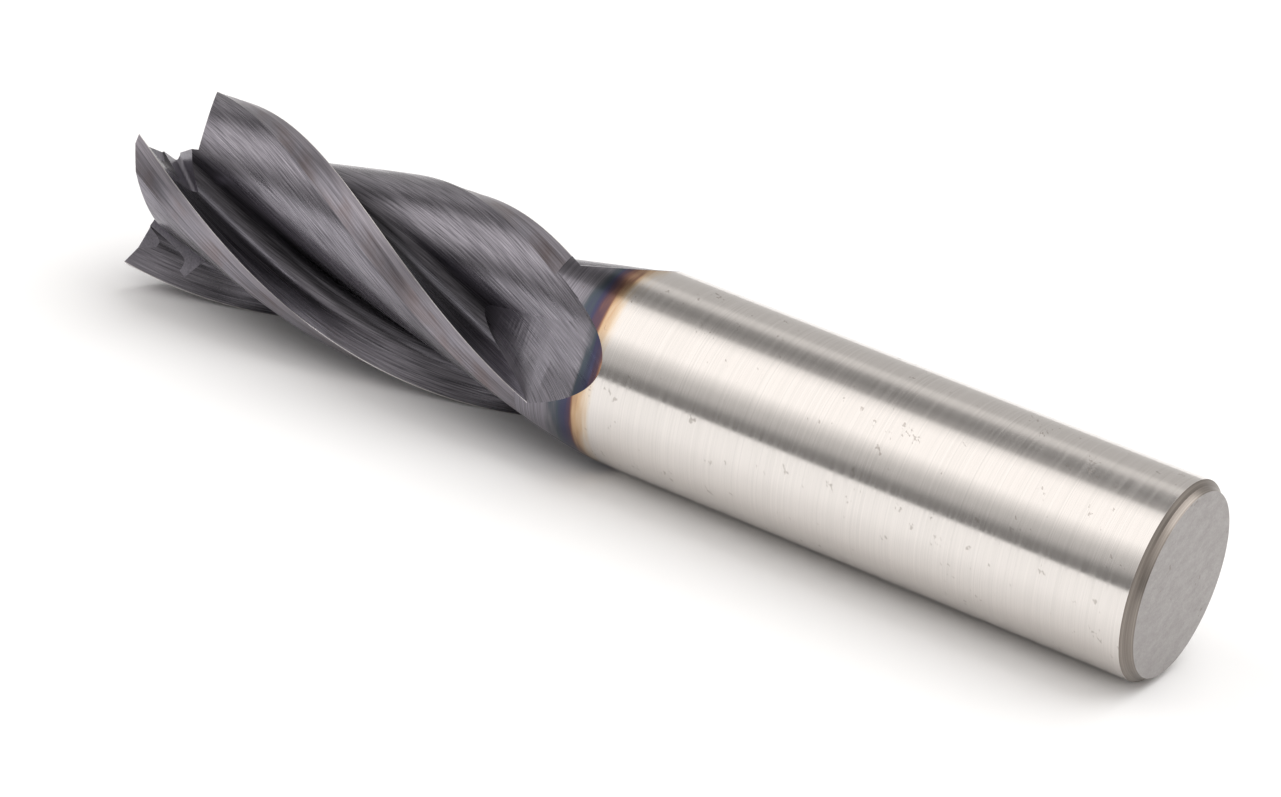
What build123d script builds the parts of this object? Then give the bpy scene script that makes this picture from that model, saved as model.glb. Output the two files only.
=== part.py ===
from build123d import *
from math import cos, pi, sin, tan, radians
import os

# A four-flute square end mill, ground from one carbide rod. Sizes are in millimetres.
# The tool stands on its shank end: z = 0 is the end of the shank and +Z points to the cutting end.
# The first tooth's corner lies on +X at the tip.

# Blank, and the slightly smaller circle that the ground cutting edges run on
diameter = 16.0
cutting_diameter = 15.95
overall_length = 92.0
tooth_count = 4

# End of the shank: a steep conical step inside the chamfer
shank_face_diameter = 14.76
shank_ring_diameter = 15.2
shank_ring_height = 0.5
shank_chamfer_end = 0.87

# Flutes, seen across the tool's axis
helix_angle = 28.5
rake_angle = 14.0
rake_depth = 3.9
root_flat = 0.5
back_angle = 80.0
back_length = 2.4
heel_angle = 72.5
heel_drop = 0.2

# Where each flute leaves the rod: the grinding wheel climbs out along a straight ramp
flute_end = 46.7
ramp_angle = 15.8
ramp_lead = 60.0
ramp_side = 4.2

# Lands behind the cutting edges
primary_relief_angle = 8.0
primary_relief_width = 0.8
secondary_relief_angle = 14.0
secondary_relief_width = 2.4
relief_end = 53.7

# Cutting end: the end edges fall from the corners towards a small centre hole
end_edge_angle = -10.4
end_edge_length = 6.0
dish_angle = 10.5
end_primary_angle = 6.0
end_primary_width = 0.85
end_secondary_angle = 25.6
centre_hole_diameter = 2.0
centre_hole_depth = 2.5

# Gashes, seen along the groove: its bottom passes the axis at an offset and falls outwards
gash_offset = 2.61
gash_bearing = 18.9
gash_depth = 1.27
gash_slope = 47.4
gash_back_lean = -23.4
gash_rake_lean = 28.8
gash_radius = 0.3
gash_reach = 5.0

# Room that the cutters need beyond the surface that they leave
overshoot = 3.0

radius = diameter / 2
pitch = pi * diameter / tan(radians(helix_angle))


def edge_angle(height):
    """Angle about the axis, in degrees, of the first tooth's cutting edge at a height."""
    return -360 * (overall_length - height) / pitch


def polar(distance, angle):
    """Point of a cross-section at a distance from the axis and an angle from the edge."""
    return Vector(distance * cos(radians(angle)), distance * sin(radians(angle)))


def section_plane(height):
    """Plane across the tool whose x axis points at the first tooth's cutting edge."""
    turn = radians(edge_angle(height))
    return Plane((0, 0, height), x_dir=(cos(turn), sin(turn), 0), z_dir=(0, 0, 1))


def sweep_along_helix(start, end):
    """Path of a screw motion with the tool's pitch from one height to another."""
    return Helix(pitch, end - start, radius, center=(0, 0, start))


# Rod with the shank's chamfered end and a dished cutting end
with BuildPart() as rod:
    with BuildSketch(Plane.XZ):
        with BuildLine():
            Polyline(
                (0, 0),
                (shank_face_diameter / 2, 0),
                (shank_ring_diameter / 2, shank_ring_height),
                (radius, shank_chamfer_end),
                (radius, overall_length),
                (0, overall_length - radius * tan(radians(dish_angle))),
                close=True,
            )
        make_face()
    revolve(axis=Axis.Z)

# One flute: rake face, narrow root, straight then bulging back up to the heel of the next land
flute_start = flute_end - overshoot
flute_stop = overall_length + overshoot
outside = radius + overshoot

with BuildPart() as flute:
    with BuildSketch(section_plane(flute_start)) as flute_section:
        with BuildLine():
            edge = Vector(radius, 0)
            rake_direction = Vector(cos(radians(rake_angle)), sin(radians(rake_angle)))
            back_direction = Vector(cos(radians(back_angle)), sin(radians(back_angle)))
            root = edge - rake_direction * rake_depth
            rake_end = edge + rake_direction * radius
            back_end = root + back_direction * back_length
            heel = polar(radius - heel_drop, heel_angle)
            beyond_heel = polar(diameter, heel_angle)
            bulge = TangentArc(back_end, heel, tangent=back_direction)
            heel_run_out = heel + (bulge % 1) * radius
            Polyline(heel, heel_run_out, beyond_heel, rake_end, root, back_end)
        make_face()
        chamfer(flute_section.vertices().sort_by_distance(root)[0], length=root_flat)
    with BuildLine():
        sweep_along_helix(flute_start, flute_stop)
    sweep(is_frenet=True)
    ramp_turn = radians(edge_angle(flute_end) + ramp_lead)
    ramp_outwards = Vector(cos(ramp_turn), sin(ramp_turn), 0)
    ramp_sideways = Vector(sin(ramp_turn), -cos(ramp_turn), 0)
    ramp_corner = Vector(0, 0, flute_end) - ramp_sideways * ramp_side
    with BuildSketch(Plane(ramp_corner, x_dir=ramp_outwards, z_dir=ramp_sideways)):
        with BuildLine():
            ramp_length = radius / tan(radians(ramp_angle))
            beyond_foot = overshoot / tan(radians(ramp_angle))
            Polyline(
                (0, ramp_length),
                (outside, -beyond_foot),
                (outside, -beyond_foot - overshoot),
                (0, -beyond_foot - overshoot),
                close=True,
            )
        make_face()
    extrude(amount=ramp_side + outside, mode=Mode.SUBTRACT)

# One land: the narrow primary and the wider secondary flat that clear the edge behind it
with BuildPart() as relief:
    with BuildSketch(section_plane(relief_end)):
        with BuildLine():
            primary_turn = radians(primary_relief_angle)
            secondary_turn = radians(secondary_relief_angle)
            primary_direction = Vector(-sin(primary_turn), -cos(primary_turn))
            secondary_direction = Vector(-sin(secondary_turn), -cos(secondary_turn))
            ground_edge = edge - rake_direction * (diameter - cutting_diameter) / 2
            relief_break = ground_edge + primary_direction * primary_relief_width
            Polyline(
                ground_edge - primary_direction * overshoot,
                relief_break,
                relief_break + secondary_direction * secondary_relief_width,
                (outside, -overshoot),
                close=True,
            )
        make_face()
    with BuildLine():
        sweep_along_helix(relief_end, flute_stop)
    sweep(is_frenet=True)

# Clearance behind one end edge, dished towards the centre
end_turn = radians(end_edge_angle)
dish_turn = radians(dish_angle)
corner = Vector(cutting_diameter / 2, 0, overall_length)
end_edge_direction = Vector(
    cos(dish_turn) * cos(end_turn), cos(dish_turn) * sin(end_turn), sin(dish_turn)
)
across_end_edge = Vector(-sin(end_turn), cos(end_turn), 0)
end_edge_inner = corner - end_edge_direction * end_edge_length

with BuildPart() as end_relief:
    with BuildSketch(Plane(end_edge_inner, x_dir=across_end_edge, z_dir=end_edge_direction)):
        with BuildLine():
            primary_fall = end_primary_width * tan(radians(end_primary_angle))
            secondary_width = outside - end_primary_width
            secondary_fall = primary_fall + secondary_width * tan(radians(end_secondary_angle))
            Polyline(
                (0, 0),
                (-end_primary_width, -primary_fall),
                (-outside, -secondary_fall),
                (-outside, overshoot),
                (0, overshoot),
                close=True,
            )
        make_face()
    extrude(amount=end_edge_length + overshoot)

# Gashes that open the flute towards the centre: a groove between the tooth and the next one's back
gash_side = Vector(cos(radians(gash_bearing)), sin(radians(gash_bearing)), 0)
gash_fall = radians(gash_slope)
gash_direction = Vector(gash_side.Y * cos(gash_fall), -gash_side.X * cos(gash_fall), -sin(gash_fall))
gash_origin = gash_side * gash_offset + Vector(0, 0, overall_length - gash_depth)

with BuildPart() as gash:
    with BuildSketch(Plane(gash_origin, x_dir=gash_side, z_dir=gash_direction)) as groove:
        with BuildLine():
            Polyline(
                (0, 0),
                polar(diameter, gash_back_lean),
                polar(diameter, gash_rake_lean),
                close=True,
            )
        make_face()
        fillet(groove.vertices().sort_by_distance((0, 0))[0], radius=gash_radius)
    extrude(amount=gash_reach)
    extrude(groove.sketch, amount=-diameter)

with BuildPart() as end_mill:
    add(rod.part)
    with PolarLocations(0, tooth_count):
        add(flute.part, mode=Mode.SUBTRACT)
    with PolarLocations(0, tooth_count):
        add(relief.part, mode=Mode.SUBTRACT)
    with PolarLocations(0, tooth_count):
        add(end_relief.part, mode=Mode.SUBTRACT)
    with PolarLocations(0, tooth_count):
        add(gash.part, mode=Mode.SUBTRACT)
    with Locations((0, 0, overall_length)):
        Hole(centre_hole_diameter / 2, centre_hole_depth)

end_mill.part.label = "end_mill"

os.makedirs("parts", exist_ok=True)
export_step(end_mill.part, "parts/end_mill.step")
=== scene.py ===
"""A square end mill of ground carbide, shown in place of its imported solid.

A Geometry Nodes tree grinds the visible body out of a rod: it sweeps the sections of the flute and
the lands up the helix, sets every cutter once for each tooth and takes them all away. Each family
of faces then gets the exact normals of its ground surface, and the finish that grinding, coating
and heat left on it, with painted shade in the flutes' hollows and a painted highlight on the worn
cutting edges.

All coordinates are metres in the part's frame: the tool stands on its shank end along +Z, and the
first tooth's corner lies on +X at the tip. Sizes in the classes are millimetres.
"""

import logging
import math
from collections.abc import Iterator
from contextlib import contextmanager
from dataclasses import dataclass, field
from enum import Enum

import bmesh
import bpy
import numpy as np
from mathutils import Matrix, Vector

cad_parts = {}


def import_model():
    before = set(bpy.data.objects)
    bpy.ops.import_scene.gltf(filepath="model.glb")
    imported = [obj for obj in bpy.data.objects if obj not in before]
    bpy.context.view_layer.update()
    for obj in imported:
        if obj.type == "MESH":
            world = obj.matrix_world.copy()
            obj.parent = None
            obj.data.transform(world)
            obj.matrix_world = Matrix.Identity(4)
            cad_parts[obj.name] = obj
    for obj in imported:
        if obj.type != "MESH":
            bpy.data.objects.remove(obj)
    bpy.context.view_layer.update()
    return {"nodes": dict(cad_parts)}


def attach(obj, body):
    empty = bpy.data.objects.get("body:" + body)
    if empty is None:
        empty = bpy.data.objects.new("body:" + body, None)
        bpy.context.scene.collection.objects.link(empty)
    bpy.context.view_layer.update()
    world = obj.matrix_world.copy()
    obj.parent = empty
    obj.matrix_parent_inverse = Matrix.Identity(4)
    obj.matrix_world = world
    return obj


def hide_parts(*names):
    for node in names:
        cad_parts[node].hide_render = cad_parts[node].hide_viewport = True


Thing, Material, Tree = bpy.types.Object, bpy.types.Material, bpy.types.NodeTree
Node, Socket = bpy.types.Node, bpy.types.NodeSocket
LOG = logging.getLogger("end_mill")
MM = 0.001
# Distance given to section points past the ends of a side, in millimetres
PAST_END = 9.0
# Heights closer than this are one height, in metres
HAIR = 1e-6


class Surface(Enum):
    """The families of faces on the tool, each with its own finish."""

    FLUTE = 0
    PRIMARY_LAND = 1
    SECONDARY_LAND = 2
    RUN_OUT = 3
    TIP = 4
    SHANK = 5
    CHAMFER = 6
    SHANK_END = 7


class Lay(Enum):
    """The way that the grinding lines run over a surface."""

    ALONG_FLUTE = 0
    ALONG_HELIX = 1
    AROUND_SHANK = 2
    ACROSS_FACE = 3


class Kind(Enum):
    """What a socket of a node group carries."""

    NUMBER = "NodeSocketFloat"
    VECTOR = "NodeSocketVector"
    COLOUR = "NodeSocketColor"
    SHAPE = "NodeSocketGeometry"
    OBJECT = "NodeSocketObject"
    MATERIAL = "NodeSocketMaterial"


def unit(vector: np.ndarray) -> np.ndarray:
    """Vectors scaled to length 1 along their last axis."""
    return vector / np.maximum(np.linalg.norm(vector, axis=-1, keepdims=True), 1e-12)


def direction(angle: float) -> np.ndarray:
    """Unit vector in the plane at an angle in degrees."""
    return np.array([math.cos(math.radians(angle)), math.sin(math.radians(angle))])


def arc(centre: np.ndarray, start: np.ndarray, end: np.ndarray, steps: int) -> list[np.ndarray]:
    """Divide the shorter arc round a centre.

    Args:
        centre: The arc's centre.
        start: Its first point.
        end: Its last point.
        steps: The number of its parts.

    Returns:
        The points, both ends included.
    """
    first, last = start - centre, end - centre
    across = np.array([-first[1], first[0]])
    sweep = math.atan2(across @ last, first @ last)
    turns = [sweep * step / steps for step in range(steps + 1)]
    return [centre + first * math.cos(turn) + across * math.sin(turn) for turn in turns]


@dataclass(frozen=True)
class Screw:
    """The screw motion that every ground helical face follows."""

    diameter: float = 16.0
    overall_length: float = 92.0
    helix_angle: float = 28.5
    tooth_count: int = 4

    @property
    def radius(self) -> float:
        """Radius of the rod in millimetres."""
        return self.diameter / 2

    @property
    def pitch(self) -> float:
        """Height of one full turn in millimetres."""
        return math.pi * self.diameter / math.tan(math.radians(self.helix_angle))

    @property
    def turn_rate(self) -> float:
        """Turn in radians for each millimetre of height."""
        return 2 * math.pi / self.pitch

    def section(self, points: np.ndarray) -> np.ndarray:
        """Turn points back along the helix into the section at the tip.

        Args:
            points: Points in millimetres, with x, y and z in the last axis.

        Returns:
            The points' x and y in the section that the helix repeats.
        """
        turn = self.turn_rate * (self.overall_length - points[..., 2])
        cos, sin = np.cos(turn), np.sin(turn)
        x, y = points[..., 0], points[..., 1]
        return np.stack([x * cos - y * sin, x * sin + y * cos], axis=-1)

    def teeth(self, section: np.ndarray) -> Iterator[tuple[np.ndarray, np.ndarray]]:
        """Go round the teeth and turn section points from each onto the first.

        Args:
            section: Points in the section.

        Returns:
            For each tooth its turn as a matrix, and the points turned back by it.
        """
        for tooth in range(self.tooth_count):
            turn = math.radians(360 / self.tooth_count * tooth)
            spin = np.array([[math.cos(turn), -math.sin(turn)], [math.sin(turn), math.cos(turn)]])
            yield spin, section @ spin

    def lift_normal(self, flat: np.ndarray, at: np.ndarray, points: np.ndarray) -> np.ndarray:
        """Turn a section outline's normal into the normal of the screw surface.

        Args:
            flat: Normals of the outline in the section.
            at: The places of those normals in the section.
            points: The same places on the tool, in millimetres.

        Returns:
            Unit normals on the tool.
        """
        slope = self.turn_rate * (flat[..., 0] * at[..., 1] - flat[..., 1] * at[..., 0])
        turn = -self.turn_rate * (self.overall_length - points[..., 2])
        cos, sin = np.cos(turn), np.sin(turn)
        x = flat[..., 0] * cos - flat[..., 1] * sin
        y = flat[..., 0] * sin + flat[..., 1] * cos
        return unit(np.stack([x, y, slope], axis=-1))


@dataclass(frozen=True)
class StraightSide:
    """A straight side of the section, which the helix sweeps into a ground face."""

    surface: Surface
    start: np.ndarray
    along: np.ndarray
    length: float
    slack: float = 0.3

    def distance(self, at: np.ndarray) -> np.ndarray:
        """Measure how far section points lie from the side's line.

        Args:
            at: The points.

        Returns:
            Their distances, large past the side's ends.
        """
        offset = at - self.start
        reach = offset @ self.along
        away = np.abs(offset[..., 0] * self.along[1] - offset[..., 1] * self.along[0])
        within = (reach > -self.slack) & (reach < self.length + self.slack)
        return away + np.where(within, 0, PAST_END)

    def normal(self, at: np.ndarray) -> np.ndarray:
        """Normal of the side in the section, of either sense."""
        return np.broadcast_to(np.array([self.along[1], -self.along[0]]), at.shape)


@dataclass(frozen=True)
class RoundSide:
    """A round side of the section."""

    surface: Surface
    centre: np.ndarray
    start: np.ndarray
    end: np.ndarray
    slack: float = 0.03

    def distance(self, at: np.ndarray) -> np.ndarray:
        """Measure how far section points lie from the arc.

        Args:
            at: The points.

        Returns:
            Their distances, large past the arc's ends.
        """
        first, last = unit(self.start - self.centre), unit(self.end - self.centre)
        middle = unit(first + last)
        radius = np.linalg.norm(self.start - self.centre)
        away = np.abs(np.linalg.norm(at - self.centre, axis=-1) - radius)
        within = unit(at - self.centre) @ middle > middle @ first - self.slack
        return away + np.where(within, 0, PAST_END)

    def normal(self, at: np.ndarray) -> np.ndarray:
        """Normal of the circle in the section, of either sense."""
        return unit(at - self.centre)


@dataclass(frozen=True)
class ToothSection:
    """One tooth's part of the section: its flute and its two relief lands, in millimetres."""

    screw: Screw = field(default_factory=Screw)
    cutting_diameter: float = 15.95
    rake_angle: float = 2.0
    rake_depth: float = 4.1
    rake_steps: int = 4
    root_radius: float = 1.6
    root_steps: int = 14
    back_angle: float = 80.0
    back_length: float = 2.2
    bulge_steps: int = 22
    heel_angle: float = 72.5
    heel_drop: float = 0.2
    heel_length: float = 1.0
    primary_relief_angle: float = 8.0
    primary_relief_width: float = 0.8
    secondary_relief_angle: float = 14.0
    secondary_relief_width: float = 2.4
    edge: np.ndarray = field(init=False)
    root: np.ndarray = field(init=False)
    root_start: np.ndarray = field(init=False)
    root_end: np.ndarray = field(init=False)
    root_centre: np.ndarray = field(init=False)
    back_end: np.ndarray = field(init=False)
    bulge_centre: np.ndarray = field(init=False)
    heel: np.ndarray = field(init=False)
    heel_way: np.ndarray = field(init=False)
    ground_edge: np.ndarray = field(init=False)
    land_break: np.ndarray = field(init=False)

    def __post_init__(self) -> None:
        """Work out the corner points that the flute and the lands run through."""
        rake, back = direction(self.rake_angle), direction(self.back_angle)
        edge = np.array([self.screw.radius, 0.0])
        root = edge - rake * self.rake_depth
        half = math.radians(self.back_angle - self.rake_angle) / 2
        setback = self.root_radius / math.tan(half)
        middle = direction((self.back_angle + self.rake_angle) / 2)
        back_end = root + back * self.back_length
        heel = direction(self.heel_angle) * (self.screw.radius - self.heel_drop)
        chord = heel - back_end
        across = np.array([-back[1], back[0]])
        centre = back_end + across * ((chord @ chord) / (2 * (chord @ across)))
        ground_edge = edge - rake * (self.screw.diameter - self.cutting_diameter) / 2
        points = {
            "edge": edge,
            "root": root,
            "root_start": root + rake * setback,
            "root_end": root + back * setback,
            "root_centre": root + middle * self.root_radius / math.sin(half),
            "back_end": back_end,
            "bulge_centre": centre,
            "heel": heel,
            "heel_way": unit(np.array([centre[1] - heel[1], heel[0] - centre[0]])),
            "ground_edge": ground_edge,
            "land_break": ground_edge + self.land_ways()[0] * self.primary_relief_width,
        }
        for name, point in points.items():
            object.__setattr__(self, name, point)

    def land_ways(self) -> tuple[np.ndarray, np.ndarray]:
        """Directions of the primary and the secondary land in the section."""
        return -direction(90 - self.primary_relief_angle), -direction(90 - self.secondary_relief_angle)

    def flute_outline(self, room: float) -> list[np.ndarray]:
        """Draw the closed outline of the flute's cutter in the section.

        Args:
            room: How far the cutter reaches past the rod, in millimetres.

        Returns:
            The outline's points.
        """
        outer = self.edge + direction(self.rake_angle) * room
        rake = self.root_start - self.edge
        rake_face = [self.edge + rake * step / self.rake_steps for step in range(self.rake_steps)]
        root = arc(self.root_centre, self.root_start, self.root_end, self.root_steps)
        bulge = arc(self.bulge_centre, self.back_end, self.heel, self.bulge_steps)
        beyond = direction(self.heel_angle) * (self.screw.radius + room)
        return [outer, *rake_face, *root, *bulge, self.heel + self.heel_way * room / 2, beyond]

    def land_outline(self, room: float) -> list[np.ndarray]:
        """Draw the closed outline of the cutter that clears the lands behind the edge.

        Args:
            room: How far the cutter reaches past the rod, in millimetres.

        Returns:
            The outline's points.
        """
        primary, secondary = self.land_ways()
        end = self.land_break + secondary * self.secondary_relief_width
        corner = np.array([self.screw.radius + room, -room])
        return [self.ground_edge - primary * room, self.ground_edge, self.land_break, end, corner]

    def back_sides(self) -> list[StraightSide | RoundSide]:
        """The straight and the bulging side of the flute's back."""
        straight = StraightSide(Surface.FLUTE, self.root, direction(self.back_angle), self.back_length)
        return [straight, RoundSide(Surface.FLUTE, self.bulge_centre, self.back_end, self.heel)]

    def sides(self) -> list[StraightSide | RoundSide]:
        """Work out the sides of the first tooth.

        Returns:
            The sides, with the flute's first and the lands' last.
        """
        primary, secondary = self.land_ways()
        flute, first, second = Surface.FLUTE, Surface.PRIMARY_LAND, Surface.SECONDARY_LAND
        return [
            StraightSide(flute, self.edge, -direction(self.rake_angle), self.rake_depth),
            RoundSide(flute, self.root_centre, self.root_start, self.root_end),
            *self.back_sides(),
            StraightSide(flute, self.heel, self.heel_way, self.heel_length),
            StraightSide(first, self.ground_edge, primary, self.primary_relief_width),
            StraightSide(second, self.land_break, secondary, self.secondary_relief_width),
        ]


def show(thing: Thing) -> Thing:
    """Put an object into the scene."""
    bpy.context.scene.collection.objects.link(thing)
    return thing


def laid_out(
    drawing: list[tuple[float, float]], origin: np.ndarray, across: np.ndarray, up: np.ndarray
) -> list[np.ndarray]:
    """Points of a flat drawing, laid into space by its two axes."""
    return [origin + across * x + up * y for x, y in drawing]


@contextmanager
def opened(mesh: bpy.types.Mesh) -> Iterator[bmesh.types.BMesh]:
    """Open a mesh to work on it, and keep what was done.

    Args:
        mesh: The mesh.

    Returns:
        Its faces, edges and corners while it is open.
    """
    work = bmesh.new()
    work.from_mesh(mesh)
    yield work
    work.to_mesh(mesh)
    work.free()


def loop_mesh(name: str, points: list[np.ndarray]) -> Thing:
    """Make an object of one closed outline in the section plane, run anticlockwise.

    Args:
        name: The object's name.
        points: The outline's points in millimetres.

    Returns:
        The object, whose mesh has edges only.
    """
    ring = np.array(points)
    after = np.roll(ring, -1, axis=0)
    if np.sum(ring[:, 0] * after[:, 1] - ring[:, 1] * after[:, 0]) < 0:
        ring = ring[::-1]
    count = len(ring)
    mesh = bpy.data.meshes.new(name)
    mesh.from_pydata([(x, y, 0) for x, y in ring], [(i, (i + 1) % count) for i in range(count)], [])
    return bpy.data.objects.new(name, mesh)


def solid_mesh(name: str, points: list[tuple], faces: list[tuple]) -> Thing:
    """Make an object of a closed mesh.

    Args:
        name: The object's name.
        points: The corners' places.
        faces: The corners' numbers round each face.

    Returns:
        The object, with its faces outwards.
    """
    mesh = bpy.data.meshes.new(name)
    mesh.from_pydata(points, [], faces)
    with opened(mesh) as work:
        bmesh.ops.recalc_face_normals(work, faces=work.faces)
    return bpy.data.objects.new(name, mesh)


def stacked(name: str, rings: list[list[tuple]]) -> Thing:
    """Make a closed body of rings with as many corners each, from one flat end to the other.

    Args:
        name: The object's name.
        rings: The corners' places round each ring.

    Returns:
        The object, with its faces outwards.
    """
    count = len(rings[0])
    points = [corner for ring in rings for corner in ring]
    faces = [tuple(range(count - 1, -1, -1)), tuple(range(len(points) - count, len(points)))]
    for low in range(0, len(points) - count, count):
        after = [(i + 1) % count for i in range(count)]
        faces += [(low + i, low + j, low + count + j, low + count + i) for i, j in enumerate(after)]
    return solid_mesh(name, points, faces)


def prism(name: str, outline: list[np.ndarray], shift: np.ndarray) -> Thing:
    """A straight block from a flat outline and the way to its other end."""
    ends = [outline, [corner + shift for corner in outline]]
    return stacked(name, [[tuple(corner) for corner in end] for end in ends])


def turned(name: str, rings: list[tuple[float, float]], steps: int) -> Thing:
    """Make a body turned about the tool's axis, closed by flat ends.

    Args:
        name: The object's name.
        rings: Radius and height of each ring, from the bottom up.
        steps: Number of corners round each ring.

    Returns:
        The object, with its faces outwards.
    """
    turns = [2 * math.pi * step / steps for step in range(steps)]
    ways = [(math.cos(turn), math.sin(turn)) for turn in turns]
    return stacked(name, [[(away * x, away * y, z) for x, y in ways] for away, z in rings])


@dataclass(frozen=True)
class Cutters:
    """The rod and the wheels' paths that grind the tool out of it, with sizes in millimetres."""

    screw: Screw = field(default_factory=Screw)
    tooth: ToothSection = field(default_factory=ToothSection)
    room: float = 3.0
    sweep_step: float = 0.3
    merge: float = 0.0003
    shank_rings: tuple = ((7.38, 0.0), (7.6, 0.5), (8.0, 0.87))
    rod_steps: int = 288
    flute_end: float = 46.7
    relief_end: float = 53.7
    ramp_angle: float = 15.8
    ramp_lead: float = 60.0
    ramp_side: float = 4.2
    end_edge_angle: float = -10.4
    end_edge_length: float = 6.0
    dish_angle: float = 10.5
    dish_foot: float = 0.001
    dish_steps: int = 96
    end_primary_angle: float = 6.0
    end_primary_width: float = 0.85
    end_secondary_angle: float = 25.6
    hole_radius: float = 1.0
    hole_depth: float = 2.5
    hole_steps: int = 48
    gash_wall: tuple = (0.209, 0.854, -0.476)
    gash_wall_point: tuple = (7.975, 0.0, 92.0)
    gash_wall_height: float = 2.6
    gash_back: tuple = (0.595, -0.510, 0.621)
    gash_back_point: tuple = (5.274, 0.555, 87.805)
    gash_radius: float = 0.3
    gash_steps: int = 8
    gash_reach: float = 7.0
    tip_face: tuple = (0.336, 0.797, -0.501)
    tip_face_point: tuple = (6.28, -0.17, 91.68)

    @property
    def outside(self) -> float:
        """Radius that the straight cutters reach."""
        return self.screw.radius + self.room

    @property
    def chamfer_end(self) -> float:
        """Height of the shank's chamfer."""
        return self.shank_rings[-1][1]

    def rod(self) -> Thing:
        """The rod with its chamfered shank end."""
        top = (self.screw.radius, self.screw.overall_length)
        return turned("rod", [*self.shank_rings, top], self.rod_steps)

    def dish(self) -> Thing:
        """Make the cone that hollows the cutting end.

        Returns:
            The cutter's object.
        """
        slope = math.tan(math.radians(self.dish_angle))
        low = self.screw.overall_length - self.screw.radius * slope
        reaches = (self.dish_foot, 3 * self.outside)
        return turned("dish", [(reach, low + reach * slope) for reach in reaches], self.dish_steps)

    def hole(self) -> Thing:
        """The pin of the small hole in the middle of the cutting end."""
        top, radius = self.screw.overall_length, self.hole_radius
        return turned("hole", [(radius, top - self.hole_depth), (radius, top + 1)], self.hole_steps)

    def ramp(self) -> Thing:
        """Make the block that the flute's cutter leaves out, where the wheel climbs out of the rod.

        Returns:
            The block's object.
        """
        turn = self.screw.turn_rate * (self.flute_end - self.screw.overall_length)
        turn += math.radians(self.ramp_lead)
        outwards = np.array([math.cos(turn), math.sin(turn), 0])
        sideways = np.array([math.sin(turn), -math.cos(turn), 0])
        up = np.array([0, 0, 1.0])
        slope = math.tan(math.radians(self.ramp_angle))
        top, foot = self.screw.radius / slope, -self.room / slope
        low = foot - self.room
        drawing = [(0, top), (self.outside, foot), (self.outside, low), (0, low)]
        outline = laid_out(drawing, up * self.flute_end - sideways * self.ramp_side, outwards, up)
        return prism("ramp", outline, sideways * (self.ramp_side + self.outside))

    def end_clearance(self) -> Thing:
        """Make the block behind one end edge, which falls away in two steps.

        Returns:
            The cutter's object.
        """
        end, dish = math.radians(self.end_edge_angle), math.radians(self.dish_angle)
        along = np.array([math.cos(dish) * math.cos(end), math.cos(dish) * math.sin(end), math.sin(dish)])
        across = np.array([-math.sin(end), math.cos(end), 0])
        corner = np.array([self.tooth.cutting_diameter / 2, 0, self.screw.overall_length])
        width = self.end_primary_width
        fall = width * math.tan(math.radians(self.end_primary_angle))
        far_fall = fall + (self.outside - width) * math.tan(math.radians(self.end_secondary_angle))
        drawing = [(0, 0), (-width, -fall), (-self.outside, -far_fall)]
        drawing += [(-self.outside, self.room), (0, self.room)]
        inner = corner - along * self.end_edge_length
        outline = laid_out(drawing, inner, across, np.cross(along, across))
        return prism("end_clearance", outline, along * (self.end_edge_length + self.room))

    def gash(self) -> Thing:
        """Make the groove that opens one flute towards the middle of the end.

        Returns:
            The cutter's object.
        """
        wall, back = unit(np.array(self.gash_wall)), unit(np.array(self.gash_back))
        way = unit(np.cross(wall, back))
        way = way if way[2] < 0 else -way
        known = [wall @ self.gash_wall_point, back @ self.gash_back_point, self.screw.overall_length]
        start = np.linalg.solve(np.array([wall, back, [0.0, 0.0, 1.0]]), known)
        up_wall, up_back = np.cross(way, wall), np.cross(way, back)
        up_wall = up_wall if up_wall @ back > 0 else -up_wall
        up_back = up_back if up_back @ wall > 0 else -up_back
        middle, across = unit(up_wall + up_back), unit(up_wall - up_back)
        half = math.acos(middle @ up_wall)
        centre = start + middle * self.gash_radius / math.sin(half)
        rounding = []
        for step in range(self.gash_steps + 1):
            turn = (1 - 2 * step / self.gash_steps) * (math.pi / 2 - half)
            rounding.append(centre + (across * math.sin(turn) - middle * math.cos(turn)) * self.gash_radius)
        far = self.screw.diameter
        top = start + up_wall * self.gash_wall_height
        outline = [top + up_back * far, top, *rounding, start + up_back * far]
        return prism("gash", [corner - way * far for corner in outline], way * (far + self.gash_reach))

    def tip_stock(self) -> Thing:
        """Make the stock that the flute leaves under the flat face beside one end edge.

        Returns:
            The block's object.
        """
        normal = unit(np.array(self.tip_face))
        across = unit(np.cross(normal, [0.0, 0.0, 1.0]))
        half = self.screw.radius
        drawing = [(-half, -half), (half, -half), (half, half), (-half, half)]
        outline = laid_out(drawing, np.array(self.tip_face_point), across, np.cross(normal, across))
        return prism("tip_stock", outline, -normal * self.screw.diameter)


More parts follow.
